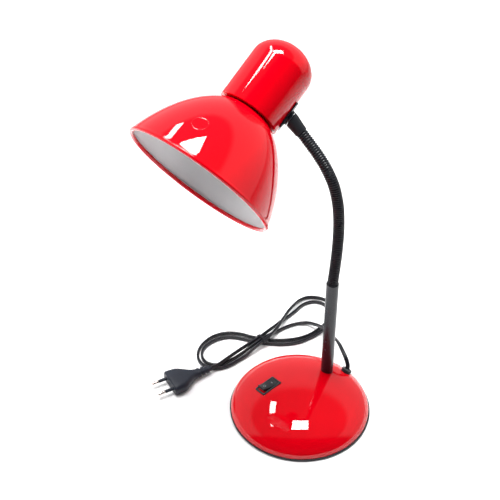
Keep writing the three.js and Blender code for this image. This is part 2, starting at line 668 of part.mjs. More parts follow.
function buildCord() {
  plastic(lamp, "cord_lead", wire(CORD_ROUTE, CORD_R, 84, 8));
  plastic(lamp, "cord_tie", cordTie());
  const plug = new THREE.Group();
  plug.position.copy(PLUG_FACE);
  plug.rotation.z = rad(PLUG_ANGLE);
  lamp.add(plug);
  const sockets = [-1, 1].map((side) => alongX(rod(1.5, -1, 8, 10)).translate(0, (side * PIN_PITCH) / 2, 0));
  plastic(plug, "plug_body", cut(plugBody(), ...sockets));
  [-1, 1].forEach((side, i) => {
    const y = (side * PIN_PITCH) / 2;
    const pin = turned([[0, -7], [1.1, -7], [1.1, 10.3], [2, 10.3], [2, 18], [1.2, 19], [0, 19]], 12);
    const sleeve = ring(1.4, 1.9, 0.3, 10, 12);
    steel(plug, `plug_pin_${i + 1}`, alongX(pin).rotateZ(Math.PI).translate(0, y, 0));
    plastic(plug, `plug_sleeve_${i + 1}`, alongX(sleeve).rotateZ(Math.PI).translate(0, y, 0));
  });
}

function alongX(geometry) {
  return geometry.rotateY(Math.PI / 2);
}

buildBase();
buildStem();
buildSwitch();
buildWiring();
buildNeck();
buildHead();
buildCord();

export default lamp;
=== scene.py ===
# Gooseneck desk lamp: a domed base with a rocker switch, a rigid stem, a ribbed flexible neck,
# a bell-shaped shade and a flat twin cord in a tied hank. Lengths are in millimetres until a mesh is made.
import json
import math

import bmesh
import bpy
from mathutils import Matrix, Vector


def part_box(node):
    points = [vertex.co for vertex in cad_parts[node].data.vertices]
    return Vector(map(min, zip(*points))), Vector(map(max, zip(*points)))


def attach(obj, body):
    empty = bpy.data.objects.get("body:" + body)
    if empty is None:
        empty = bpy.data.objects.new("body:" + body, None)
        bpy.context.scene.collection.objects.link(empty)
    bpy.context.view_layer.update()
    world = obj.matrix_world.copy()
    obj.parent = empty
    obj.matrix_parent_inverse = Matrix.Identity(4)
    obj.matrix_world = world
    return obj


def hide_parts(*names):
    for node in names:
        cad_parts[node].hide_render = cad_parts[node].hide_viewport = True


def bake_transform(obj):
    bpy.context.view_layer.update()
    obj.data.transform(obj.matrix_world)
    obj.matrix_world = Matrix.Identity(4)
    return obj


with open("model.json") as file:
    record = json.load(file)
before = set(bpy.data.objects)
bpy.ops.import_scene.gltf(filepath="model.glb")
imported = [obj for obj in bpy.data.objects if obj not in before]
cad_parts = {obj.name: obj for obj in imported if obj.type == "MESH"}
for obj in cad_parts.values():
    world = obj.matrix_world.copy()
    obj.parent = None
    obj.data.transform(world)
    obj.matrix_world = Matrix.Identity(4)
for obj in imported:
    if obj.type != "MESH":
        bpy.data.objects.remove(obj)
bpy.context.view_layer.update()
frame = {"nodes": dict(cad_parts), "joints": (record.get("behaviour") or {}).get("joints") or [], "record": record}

MM = 0.001
FACETS = 128  # sides of the large round pieces


# ---- Places taken from the frame ----
def box_mm(node):
    low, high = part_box(node)
    return low / MM, high / MM


def centre_of(node):
    low, high = box_mm(node)
    return (low + high) / 2


def joint(name):
    return next(j for j in frame["joints"] if j["name"] == name)


def joint_at(name):
    return Vector(joint(name)["pos_m"]) / MM


def joint_axis(name):
    return Vector(joint(name)["axis"]).normalized()


def axes(origin, z_axis, x_hint):
    """A frame with its z axis along one direction and its x axis as near as it can be to another."""
    z = Vector(z_axis).normalized()
    x = (Vector(x_hint) - z * Vector(x_hint).dot(z)).normalized()
    y = z.cross(x)
    turn = Matrix((x, y, z)).transposed().to_4x4()
    return Matrix.Translation(origin) @ turn


# ---- Outlines ----
def arc(centre, radius, start, end, steps):
    """Points of a circular arc, with its angles in degrees."""
    angles = [math.radians(start + (end - start) * i / steps) for i in range(steps + 1)]
    return [(centre[0] + radius * math.cos(a), centre[1] + radius * math.sin(a)) for a in angles]


def rounded(points, steps=4):
    """An open outline of (x, y) or (x, y, radius) points, with each corner that has a radius rounded."""
    made = []
    for i, point in enumerate(points):
        here = Vector(point[:2])
        if len(point) < 3 or i in (0, len(points) - 1):
            made.append(tuple(here))
            continue
        before = (Vector(points[i - 1][:2]) - here).normalized()
        after = (Vector(points[i + 1][:2]) - here).normalized()
        half = before.angle(after) / 2
        reach = point[2] / math.tan(half)
        middle = here + (before + after).normalized() * point[2] / math.sin(half)
        first = here + before * reach - middle
        last = here + after * reach - middle
        for k in range(steps + 1):
            made.append(tuple(middle + first.normalized().slerp(last.normalized(), k / steps) * point[2]))
    return made


def rounded_box(width, height, radius, steps=5):
    """A closed rounded rectangle about the origin."""
    x, y = width / 2 - radius, height / 2 - radius
    corners = [(x, y, 0), (-x, y, 90), (-x, -y, 180), (x, -y, 270)]
    return [p for cx, cy, a in corners for p in arc((cx, cy), radius, a, a + 90, steps)]


def offset(profile, distance):
    """An open outline moved along its normal, to the right of the way it runs."""
    moved = []
    for i, (x, y) in enumerate(profile):
        x0, y0 = profile[max(i - 1, 0)]
        x1, y1 = profile[min(i + 1, len(profile) - 1)]
        run = math.hypot(x1 - x0, y1 - y0)
        moved.append((max(x + distance * (y1 - y0) / run, 0), y - distance * (x1 - x0) / run))
    return moved


# ---- Meshes ----
def skin(rings, closed=False):
    """Faces between rings of points. A ring of one point is a tip, and the end rings are filled."""
    points, starts = [], []
    for ring in rings:
        starts.append(len(points))
        points.extend(ring)
    faces = []
    pairs = list(zip(range(len(rings)), range(1, len(rings))))
    if closed:
        pairs.append((len(rings) - 1, 0))
    for a, b in pairs:
        n = max(len(rings[a]), len(rings[b]))
        for i in range(n):
            j = (i + 1) % n
            corners = [
                starts[a] + i % len(rings[a]),
                starts[a] + j % len(rings[a]),
                starts[b] + j % len(rings[b]),
                starts[b] + i % len(rings[b]),
            ]
            faces.append(tuple(dict.fromkeys(corners)))
    if not closed:
        for k in (0, len(rings) - 1):
            if len(rings[k]) > 2:
                faces.append(tuple(starts[k] + i for i in range(len(rings[k]))))
    return points, faces


def turned(profile, at=Matrix.Identity(4), sides=FACETS, closed=False):
    """A profile of (radius, height) points turned about the z axis of a frame."""
    rings = []
    for r, h in profile:
        count = sides if r > 1e-6 else 1
        angles = [2 * math.pi * i / sides for i in range(count)]
        rings.append([at @ Vector((r * math.cos(a), r * math.sin(a), h)) for a in angles])
    return skin(rings, closed)


def stacked(layers, at=Matrix.Identity(4)):
    """Outlines of as many points each, one above the other: a list of (outline, height)."""
    return skin([[at @ Vector((x, y, h)) for x, y in outline] for outline, h in layers])


def piece(name, shape, body, material, stands_for=(), sharp=40):
    """A shown piece made of points in millimetres, with smooth faces and edges sharp over an angle."""
    points, faces = shape
    mesh = bpy.data.meshes.new(name)
    mesh.from_pydata([Vector(p) * MM for p in points], [], faces)
    work = bmesh.new()
    work.from_mesh(mesh)
    bmesh.ops.remove_doubles(work, verts=work.verts, dist=1e-7)
    bmesh.ops.recalc_face_normals(work, faces=work.faces)
    work.to_mesh(mesh)
    work.free()
    mesh.shade_smooth()
    mesh.set_sharp_from_angle(angle=math.radians(sharp))
    mesh.materials.append(material)
    obj = bpy.data.objects.new(name, mesh)
    bpy.context.scene.collection.objects.link(obj)
    if body:
        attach(obj, body)
    if stands_for:
        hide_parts(*stands_for)
    return obj


def joined(*shapes):
    points, faces = [], []
    for more_points, more_faces in shapes:
        start = len(points)
        points.extend(more_points)
        faces.extend(tuple(start + i for i in face) for face in more_faces)
    return points, faces


# ---- Curves through points ----
def curve_through(points, step):
    """A smooth curve through points, as points about a step apart: a centripetal Catmull-Rom spline."""
    ends = [2 * points[0] - points[1], *points, 2 * points[-1] - points[-2]]
    fine = []
    for p0, p1, p2, p3 in zip(ends, ends[1:], ends[2:], ends[3:]):
        d0, d1, d2 = ((b - a).length ** 0.5 for a, b in ((p0, p1), (p1, p2), (p2, p3)))
        t1 = ((p1 - p0) / d0 - (p2 - p0) / (d0 + d1) + (p2 - p1) / d1) * d1
        t2 = ((p2 - p1) / d1 - (p3 - p1) / (d1 + d2) + (p3 - p2) / d2) * d1
        for k in range(16):
            t = k / 16
            cubic = (2 * p1 - 2 * p2 + t1 + t2) * t**3
            fine.append(p1 + t1 * t + (-3 * p1 + 3 * p2 - 2 * t1 - t2) * t**2 + cubic)
    fine.append(points[-1])
    return evenly(fine, step)


def lengths_along(points):
    along = [0.0]
    for a, b in zip(points, points[1:]):
        along.append(along[-1] + (b - a).length)
    return along


def evenly(points, step):
    along = lengths_along(points)
    count = max(2, round(along[-1] / step))
    made, k = [], 0
    for i in range(count + 1):
        want = along[-1] * i / count
        while k < len(along) - 2 and along[k + 1] < want:
            k += 1
        made.append(points[k].lerp(points[k + 1], (want - along[k]) / (along[k + 1] - along[k])))
    return made


def tangents(points):
    last = len(points) - 1
    return [(points[min(i + 1, last)] - points[max(i - 1, 0)]).normalized() for i in range(last + 1)]


# ---- Materials ----
def plain(name, color, roughness, metallic=0.0, coat=0.0, specular=0.5):
    material = bpy.data.materials.new(name)
    material.use_nodes = True
    shader = material.node_tree.nodes["Principled BSDF"]
    shader.inputs["Base Color"].default_value = (*color, 1)
    shader.inputs["Roughness"].default_value = roughness
    shader.inputs["Metallic"].default_value = metallic
    shader.inputs["Specular IOR Level"].default_value = specular
    shader.inputs["Coat Weight"].default_value = coat
    shader.inputs["Coat Roughness"].default_value = 0.02
    return material


def noise_in(material, scale, detail=3.0, stretch=(1, 1, 1)):
    """Noise fixed to the piece. The scale is in waves to a metre."""
    nodes, links = material.node_tree.nodes, material.node_tree.links
    where = nodes.new("ShaderNodeTexCoord")
    mapping = nodes.new("ShaderNodeMapping")
    mapping.inputs["Scale"].default_value = stretch
    noise = nodes.new("ShaderNodeTexNoise")
    noise.inputs["Scale"].default_value = scale
    noise.inputs["Detail"].default_value = detail
    links.new(where.outputs["Object"], mapping.inputs["Vector"])
    links.new(mapping.outputs["Vector"], noise.inputs["Vector"])
    return noise.outputs["Fac"]


def mottle(material, scale, darker, stretch=(1, 1, 1)):
    """The base colour drifts between its own value and a darker share of it."""
    nodes, links = material.node_tree.nodes, material.node_tree.links
    shader = nodes["Principled BSDF"]
    color = shader.inputs["Base Color"].default_value[:3]
    ramp = nodes.new("ShaderNodeValToRGB")
    ramp.color_ramp.elements[0].position = 0.35
    ramp.color_ramp.elements[1].position = 0.65
    ramp.color_ramp.elements[0].color = (*(c * darker for c in color), 1)
    ramp.color_ramp.elements[1].color = (*color, 1)
    links.new(noise_in(material, scale, 4, stretch), ramp.inputs["Fac"])
    links.new(ramp.outputs["Color"], shader.inputs["Base Color"])


def uneven_gloss(material, scale, low, high, stretch=(1, 1, 1)):
    nodes, links = material.node_tree.nodes, material.node_tree.links
    span = nodes.new("ShaderNodeMapRange")
    span.inputs["From Min"].default_value = 0.3
    span.inputs["From Max"].default_value = 0.7
    span.inputs["To Min"].default_value = low
    span.inputs["To Max"].default_value = high
    links.new(noise_in(material, scale, 5, stretch), span.inputs["Value"])
    links.new(span.outputs["Result"], nodes["Principled BSDF"].inputs["Roughness"])


def grain(material, scale, depth, stretch=(1, 1, 1), coat=False):
    """A fine relief. The depth is in millimetres."""
    nodes, links = material.node_tree.nodes, material.node_tree.links
    bump = nodes.new("ShaderNodeBump")
    bump.inputs["Distance"].default_value = depth * MM
    bump.inputs["Strength"].default_value = 1.0
    links.new(noise_in(material, scale, 2, stretch), bump.inputs["Height"])
    links.new(bump.outputs["Normal"], nodes["Principled BSDF"].inputs["Normal"])
    if coat:
        links.new(bump.outputs["Normal"], nodes["Principled BSDF"].inputs["Coat Normal"])


def red_enamel():
    made = plain("red_enamel", (0.62, 0.0, 0.006), 0.3, coat=1.0, specular=0.0)
    mottle(made, 30, 0.96)
    uneven_gloss(made, 60, 0.26, 0.36)
    grain(made, 260, 0.004, coat=True)
    return made


def white_enamel():
    made = plain("white_enamel", (0.64, 0.64, 0.65), 0.35)
    mottle(made, 40, 0.97)
    uneven_gloss(made, 80, 0.3, 0.42)
    grain(made, 500, 0.006)
    return made


def black_enamel():
    made = plain("black_enamel", (0.009, 0.011, 0.017), 0.2, specular=0.5)
    mottle(made, 60, 0.85)
    uneven_gloss(made, 90, 0.16, 0.28)
    grain(made, 900, 0.004)
    return made


def moulded(name, color, roughness, depth=0.012):
    made = plain(name, color, roughness, specular=0.32)
    mottle(made, 120, 0.8)
    uneven_gloss(made, 200, roughness - 0.06, roughness + 0.08)
    grain(made, 2600, depth)
    return made


def metal(name, color, roughness, stretch=(1, 1, 1)):
    made = plain(name, color, roughness, metallic=1.0)
    mottle(made, 150, 0.85)
    uneven_gloss(made, 400, roughness * 0.7, roughness * 1.4, stretch)
    grain(made, 1500, 0.006, stretch)
    return made


RED = red_enamel()
WHITE = white_enamel()
SATIN = black_enamel()
PLASTIC = moulded("black_plastic", (0.014, 0.015, 0.019), 0.42)
SLEEVE = moulded("ribbed_vinyl", (0.011, 0.012, 0.017), 0.3, 0.006)
VINYL = moulded("cord_vinyl", (0.009, 0.009, 0.013), 0.33, 0.01)
PLUG = moulded("plug_vinyl", (0.016, 0.019, 0.03), 0.4, 0.015)
BEZEL = moulded("bezel_plastic", (0.028, 0.03, 0.033), 0.38)
PRINT = moulded("switch_print", (0.42, 0.43, 0.44), 0.5)
FOAM = moulded("foam", (0.02, 0.02, 0.02), 0.85, 0.15)
IRON = metal("cast_iron", (0.11, 0.11, 0.115), 0.6)
ZINC = metal("zinc_plate", (0.62, 0.63, 0.65), 0.3)
BRASS = metal("contact_brass", (0.72, 0.52, 0.22), 0.25)
NICKEL = metal("pin_nickel", (0.78, 0.7, 0.66), 0.22)
CERAMIC = moulded("ceramic", (0.8, 0.79, 0.75), 0.25, 0.01)
WIRES = {
    "wire_brown": moulded("wire_brown", (0.2, 0.07, 0.02), 0.4),
    "wire_blue": moulded("wire_blue", (0.03, 0.12, 0.45), 0.4),
    "wire_white": moulded("wire_white", (0.8, 0.8, 0.78), 0.4),
}
CARRIED = {
    "cast_iron": IRON,
    "zinc_steel": ZINC,
    "contact_brass": BRASS,
    "white_ceramic": CERAMIC,
    "foam": FOAM,
    "black_plastic": PLASTIC,
    **WIRES,
}


# ---- Camera ----
CAMERA_AT = (501.4, -613, 854.5)
CAMERA_TURN = 43.4  # degrees, of the way it looks from +Y towards -X
CAMERA_DIP = 38.3
CAMERA_LENS = 72.0  # on a 36 mm sensor


def build_camera():
    camera = bpy.data.objects.new("camera", bpy.data.cameras.new("camera"))
    bpy.context.scene.collection.objects.link(camera)
    camera.data.lens = CAMERA_LENS
    camera.data.sensor_width = 36.0
    camera.location = Vector(CAMERA_AT) * MM
    camera.rotation_euler = (math.radians(90 - CAMERA_DIP), 0, math.radians(CAMERA_TURN))
    camera.data.clip_start, camera.data.clip_end = 0.01, 100
    bpy.context.scene.camera = camera


build_camera()


# ---- Base ----
COVER_WALL = 1.6
COVER_STEPS = 48
cover_low, cover_high = box_mm("base_cover")
COVER_R = cover_high.x
COVER_Z = cover_low.z
COVER_RISE = cover_high.z - cover_low.z


def cover_profile():
    points = []
    for i in range(COVER_STEPS + 1):
        angle = math.pi / 2 * i / COVER_STEPS
        r = COVER_R * math.cos(angle) if i < COVER_STEPS else 0
        points.append((r, COVER_Z + COVER_RISE * math.sin(angle)))
    return points


def cover_height(x, y):
    return COVER_Z + COVER_RISE * math.sqrt(1 - (math.hypot(x, y) / COVER_R) ** 2)


def cover_frame(x, y, x_hint):
    step = 0.01
    slope_x = (cover_height(x + step, y) - cover_height(x - step, y)) / (2 * step)
    slope_y = (cover_height(x, y + step) - cover_height(x, y - step)) / (2 * step)
    return axes(Vector((x, y, cover_height(x, y))), (-slope_x, -slope_y, 1), x_hint)


def build_base():
    outer = cover_profile()
    inner = offset(outer, -COVER_WALL)
    inner[0] = (inner[0][0], COVER_Z)
    inner[-1] = (0, inner[-1][1])
    shell = turned([*reversed(inner), *outer])
    piece("dome_cover", shell, "base", RED, ["base_cover"], sharp=60)
    low, high = box_mm("bottom_plate")
    r = high.x
    disc = rounded([(0, low.z), (r, low.z, 0.6), (r, high.z, 0.5), (0, high.z)])
    piece("plate", turned(disc), "base", PLASTIC, ["bottom_plate"])
    low, high = box_mm("base_pad")
    r = high.x
    pad = rounded([(0, 0), (r, 0, 0.5), (r, high.z, 0.5), (0, high.z)])
    piece("pad", turned(pad), "base", FOAM, ["base_pad"])


# ---- Stem ----
stem_low, stem_high = box_mm("stem_tube")
STEM_Y = (stem_low.y + stem_high.y) / 2
STEM_R = (stem_high.x - stem_low.x) / 2
STEM_BORE = 5.9
STEM_TOP = stem_high.z


def build_stem():
    at = Matrix.Translation((0, STEM_Y, 0))
    foot = stem_low.z
    profile = rounded([
        (STEM_BORE, foot), (STEM_R, foot), (STEM_R, STEM_TOP, 0.8), (STEM_BORE, STEM_TOP, 0.3),
        (STEM_BORE, foot),
    ])
    piece("stem", turned(profile[:-1], at, 96, True), "base", SATIN, ["stem_tube"])


# ---- Switch ----
SWITCH_TURN = 8.5  # degrees from +Y towards +X, of its long side
BEZEL_L, BEZEL_W, BEZEL_TOP = 26.5, 15.8, 0.9
ROCKER_HALF, ROCKER_W, ROCKER_THROW = 10.4, 10.8, 24.0
ROCKER_WAIST, ROCKER_DISH = 1.6, 1.7  # height at the middle, and how much higher the ends are
MARK_H = 2.22  # of the marks' middles, halfway along each half


def bevelled(outline, bottom, top, bevel, at):
    """An outline extruded between two heights, with its edges rounded."""
    work = bmesh.new()
    low = [work.verts.new((x, y, bottom)) for x, y in outline]
    high = [work.verts.new((x, y, top)) for x, y in outline]
    work.faces.new(low[::-1])
    work.faces.new(high)
    for i in range(len(low)):
        j = (i + 1) % len(low)
        work.faces.new((low[i], low[j], high[j], high[i]))
    bmesh.ops.recalc_face_normals(work, faces=work.faces)
    bmesh.ops.bevel(work, geom=work.edges[:], offset=bevel, segments=3, profile=0.5, affect="EDGES")
    work.verts.index_update()
    shape = [at @ v.co for v in work.verts], [tuple(v.index for v in f.verts) for f in work.faces]
    work.free()
    return shape


def build_switch():
    pivot = joint_at("rocker")
    turn = math.radians(SWITCH_TURN)
    at = cover_frame(pivot.x, pivot.y, (math.sin(turn), math.cos(turn), 0))
    rocker_l = 2 * ROCKER_HALF
    layers = [
        (rounded_box(BEZEL_L, BEZEL_W, 1.2), -2.6), (rounded_box(BEZEL_L, BEZEL_W, 1.2), BEZEL_TOP - 0.7),
        (rounded_box(BEZEL_L - 0.5, BEZEL_W - 0.5, 1.0), BEZEL_TOP - 0.15),
        (rounded_box(BEZEL_L - 1.1, BEZEL_W - 1.1, 0.8), BEZEL_TOP),
        (rounded_box(rocker_l + 2.1, ROCKER_W + 1.1, 0.7), BEZEL_TOP),
        (rounded_box(rocker_l + 1.7, ROCKER_W + 0.7, 0.6), BEZEL_TOP - 0.4),
        (rounded_box(rocker_l + 1.7, ROCKER_W + 0.7, 0.6), -3.6),
    ]
    body = [(rounded_box(24.6, 13.4, 0.6), -12), (rounded_box(24.6, 13.4, 0.6), -2.8)]
    housing = joined(stacked(layers, at), stacked(body, at))
    piece("switch_case", housing, "base", BEZEL, ["switch_housing"])
    tip = at @ Matrix.Rotation(math.radians(ROCKER_THROW / 2), 4, "Y")
    on_side = tip @ Matrix.Rotation(math.radians(90), 4, "X")
    h = ROCKER_HALF
    side = [(-3, -2.6), (3, -2.6), (h, 0.2), (h, ROCKER_WAIST + ROCKER_DISH)]
    side += [(h * k / 4, ROCKER_WAIST + ROCKER_DISH * (k / 4) ** 1.6) for k in (3, 2, 1)]
    side += [(0, ROCKER_WAIST)]
    side += [(-h * k / 4, ROCKER_WAIST + ROCKER_DISH * (k / 4) ** 1.6) for k in (1, 2, 3)]
    side += [(-h, ROCKER_WAIST + ROCKER_DISH), (-h, 0.2)]
    body = bevelled(side, -ROCKER_W / 2, ROCKER_W / 2, 0.25, on_side)
    piece("switch_key", body, "rocker", PLASTIC, ["switch_rocker"], sharp=30)
    ring = [(1.5, 0), (1.85, 0), (1.85, 0.12), (1.5, 0.12)]
    slope = math.atan2(ROCKER_DISH, h)
    off_face = tip @ Matrix.Translation((-h * 0.5, 0, MARK_H)) @ Matrix.Rotation(slope, 4, "Y")
    on_face = tip @ Matrix.Translation((h * 0.5, 0, MARK_H)) @ Matrix.Rotation(-slope, 4, "Y")
    piece("mark_off", turned(ring, off_face, 40, True), "rocker", PRINT)
    dash = rounded_box(0.4, 3.2, 0.15, 3)
    piece("mark_on", stacked([(dash, 0), (dash, 0.12)], on_face), "rocker", PRINT)


# ---- Cord bush ----
BUSH_XY = (12.3, 67.4)
BUSH_R, BUSH_TOP = 6.0, 3.6


def build_bush():
    at = cover_frame(*BUSH_XY, (1, 0, 0))
    r = BUSH_R
    profile = rounded([
        (0, -4.5), (3.7, -4.5), (3.7, -1), (r, -1), (r, BUSH_TOP, 0.7), (3.4, BUSH_TOP, 0.3),
        (3.1, BUSH_TOP - 0.8, 0.3), (0, BUSH_TOP - 0.8),
    ])
    piece("bush", turned(profile, at, 64), "base", PLASTIC, ["cord_bush"])


# ---- Neck ----
NECK_R = 6.05
RIB_PITCH = 2.5
RIB_DEPTH = 1.2
RIB_STEPS = 8
RIB_SIDES = 40
NECK_JOINTS = ["neck_bend", "neck_side"]
NECK_JOINTS += [f"neck_{kind}_{n}" for n in (2, 3, 4) for kind in ("bend", "side")]
hinges = [joint_at(name) for name in NECK_JOINTS]
swivel = joint_at("head_swivel")
neck_foot = Vector((0, STEM_Y, STEM_TOP))
neck_line = curve_through([neck_foot, *hinges, swivel], RIB_PITCH / RIB_STEPS)
neck_ways = tangents(neck_line)
neck_along = lengths_along(neck_line)
bend_axis = joint_axis("neck_bend")
COLLAR_L = 17.0


def nearest(points, spot):
    return min(range(len(points)), key=lambda i: (points[i] - spot).length_squared)


def neck_ring(i, radius_at):
    x = (bend_axis - neck_ways[i] * bend_axis.dot(neck_ways[i])).normalized()
    y = neck_ways[i].cross(x)
    ring = []
    for k in range(RIB_SIDES):
        a = 2 * math.pi * k / RIB_SIDES
        r = radius_at(a, neck_along[i])
        ring.append(neck_line[i] + x * (r * math.cos(a)) + y * (r * math.sin(a)))
    return ring


def ribbed(angle, along):
    phase = math.pi * along / RIB_PITCH + angle / 2
    return NECK_R - RIB_DEPTH * (1 - abs(math.sin(phase)) ** 0.8)


def build_neck():
    spots = [nearest(neck_line, h) for h in hinges]
    end = next(i for i, s in enumerate(neck_along) if s > neck_along[-1] - COLLAR_L + 2)
    middles = [(a + b) // 2 for a, b in zip(spots, spots[1:])]
    cuts = [0, *middles, end]
    for n, (first, last) in enumerate(zip(cuts, cuts[1:])):
        rings = [neck_ring(i, ribbed) for i in range(first, last + 1)]
        stands_for = [f"neck_link_{n + 1}"] + (["neck_link_9"] if n == 7 else [])
        sleeve = piece(f"neck_sleeve_{n + 1}", skin(rings), None, SLEEVE, stands_for)
        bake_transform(sleeve)


def build_collar():
    out = -neck_ways[-1]
    normal = joint_axis("head_swivel")
    at = axes(swivel, out, (0, 1, 0))
    profile = rounded([(7.4, 0), (7.4, 3), (6.4, COLLAR_L, 0.5), (5.0, COLLAR_L + 0.01), (0, COLLAR_L)])
    points, faces = turned([(0, 0), *profile], at, 64)
    slant = out.dot(normal)
    placed = []
    for p in points:
        height = (p - swivel).dot(out)
        if height < 0.01:
            p = p - out * ((p - swivel).dot(normal) / slant)
        placed.append(p)
    piece("collar", (placed, faces), "neck_9", PLASTIC, ["neck_collar"])


# ---- Head ----
HEAD_TILT = 57.2  # degrees from vertical towards +Y, of the shade's axis
COLLAR_BASE = 36.6  # from that axis
ATTACH_H = 103.0  # of the swivel above the rim plane
SHADE_ARC_R, SHADE_ARC_H, SHADE_ARC_DROP = 90.9, 158.0, 69.6
SHADE_WALL = 0.8
CROWN_HOLE_R = 20.5
CAP_R, CAP_WALL, CAP_BOTTOM, CAP_SHOULDER, CAP_DOME_RISE = 33.0, 1.0, 82.0, 137.0, 26.0
CAP_FLANGE_R = 26.2  # inner radius of the cap's turned-in lower edge
BEAD_R = 2.2
head_axis = Vector((0, math.sin(math.radians(HEAD_TILT)), math.cos(math.radians(HEAD_TILT))))
head_side = joint_axis("head_swivel")
HEAD = axes(swivel - head_side * COLLAR_BASE - head_axis * ATTACH_H, head_axis, head_side)


def shade_outline(steps=56):
    first = math.asin((1.5 + SHADE_ARC_DROP) / SHADE_ARC_H)
    last = math.acos(CROWN_HOLE_R / SHADE_ARC_R)
    angles = [first + (last - first) * i / steps for i in range(steps + 1)]
    return [(SHADE_ARC_R * math.cos(a), SHADE_ARC_H * math.sin(a) - SHADE_ARC_DROP) for a in angles]


def build_shade():
    outer = shade_outline()
    inner = offset(outer, -SHADE_WALL)
    inner[-1] = (CROWN_HOLE_R, inner[-1][1])
    rim = outer[0][0]
    bead = arc((rim + 0.5 - BEAD_R, 0.3), BEAD_R, 75, 400, 26)
    profile = [*reversed(inner[1:]), *bead, *outer[1:]]
    shade = piece("shade_shell", turned(profile, HEAD, 160, True), "head", RED, ["shade"])
    shade.data.materials.append(WHITE)
    middle = HEAD.inverted()
    for face in shade.data.polygons:
        spot = middle @ (face.center / MM)
        facing = middle.to_3x3() @ face.normal
        inwards = Vector((spot.x, spot.y, 0)).dot(facing) < 0
        if inwards and spot.z > BEAD_R + 0.5:
            face.material_index = 1


def cap_dome(radius, rise, steps=20):
    """The rounded end of the cap, from just above its shoulder to its tip."""
    points = []
    for i in range(1, steps + 1):
        angle = math.pi / 2 * i / steps
        r = radius * math.cos(angle) if i < steps else 0
        points.append((r, CAP_SHOULDER + rise * math.sin(angle)))
    return points


def build_cap():
    inner_r = CAP_R - CAP_WALL
    flange_top = CAP_BOTTOM + CAP_WALL
    inside = [(CAP_FLANGE_R, CAP_BOTTOM), (CAP_FLANGE_R, flange_top), (inner_r, flange_top)]
    inside += [(inner_r, CAP_SHOULDER), *cap_dome(inner_r, CAP_DOME_RISE - CAP_WALL)]
    edge = 0.35
    outside = [(CAP_R - edge, CAP_BOTTOM), (CAP_R, CAP_BOTTOM + edge), (CAP_R, CAP_SHOULDER)]
    outside += cap_dome(CAP_R, CAP_DOME_RISE)
    piece("cap_shell", turned([*reversed(inside), *outside], HEAD), "head", RED, ["cap"])


def on_cap(across, up, out):
    """A point over the cap's side, given along the surface from the swivel and out from it."""
    r = CAP_R + out
    a = across / CAP_R
    return HEAD @ Vector((r * math.cos(a), r * math.sin(a), ATTACH_H + up))


def build_saddle():
    outline = rounded_box(21, 30, 3.0)
    rings = [[on_cap(x * s, y * s, 0.3) for x, y in outline] for s in (0.15, 0.4, 0.7, 0.99)]
    rings += [[on_cap(x, y, out) for x, y in outline] for out in (0.4, 1.6)]
    rings += [[on_cap(x * s, y * s, 1.9) for x, y in outline] for s in (0.97, 0.7, 0.4, 0.15)]
    boss_at = axes(swivel, -head_side, head_axis)
    boss = rounded([(0, 0.3), (8, 0.3, 0.4), (8, 2.2), (0, 2.2)])
    shape = joined(skin(rings), turned(boss, boss_at, 64))
    piece("saddle", shape, "head", SATIN, ["saddle_plate"])


HOLDER_TOP = 121.5
KNURLS, KNURL_DEPTH, KNURL_FROM = 36, 0.018, 25.0  # on the threaded ring: count, share of radius, radius
THREAD_LOW, THREAD_HIGH, THREAD_R, THREAD_DEPTH, THREAD_PITCH = 74.0, 100.0, 13.9, 0.45, 3.63


def build_holder():
    top = HOLDER_TOP
    profile = rounded([
        (17.2, 68), (19.7, 68, 0.5), (19.7, 84.6, 0.4), (23.5, 84.6, 0.8), (23.5, 88, 0.8),
        (20.5, 90.5, 0.8), (19, top, 1.5), (3.5, top), (3.5, top - 3), (17.2, top - 3),
    ])
    shell = turned(profile, HEAD, 96, True)
    piece("holder_shell", shell, "head", PLASTIC, ["lampholder_shell"])
    ring = rounded([(20.1, 73.5), (26.5, 73.5, 0.8), (26.5, 79, 0.8), (23, 81, 0.8), (20.1, 81)])
    points, faces = turned(ring, HEAD, 144, True)
    back = HEAD.inverted()
    knurled = []
    for p in points:
        q = back @ p
        if math.hypot(q.x, q.y) > KNURL_FROM:
            grip = 1 - KNURL_DEPTH * (1 + math.cos(KNURLS * math.atan2(q.y, q.x)))
            q.x, q.y = q.x * grip, q.y * grip
        knurled.append(HEAD @ q)
    piece("threaded_ring", (knurled, faces), "head", PLASTIC, ["shade_ring"])
    rings, rows, sides = [], 100, 72
    for wall in (0.0, -0.45):
        column = []
        for i in range(rows + 1):
            h = THREAD_LOW + (THREAD_HIGH - THREAD_LOW) * i / rows
            turn = []
            for k in range(sides):
                a = 2 * math.pi * k / sides
                r = THREAD_R + wall + THREAD_DEPTH * math.cos(2 * math.pi * h / THREAD_PITCH - a)
                turn.append(HEAD @ Vector((r * math.cos(a), r * math.sin(a), h)))
            column.append(turn)
        rings += column if wall == 0 else column[::-1]
    piece("thread", skin(rings, True), "head", BRASS, ["socket_thread"])


DISC_R, DISC_H, DISC_TURN = 8.0, 32.0, -112.0


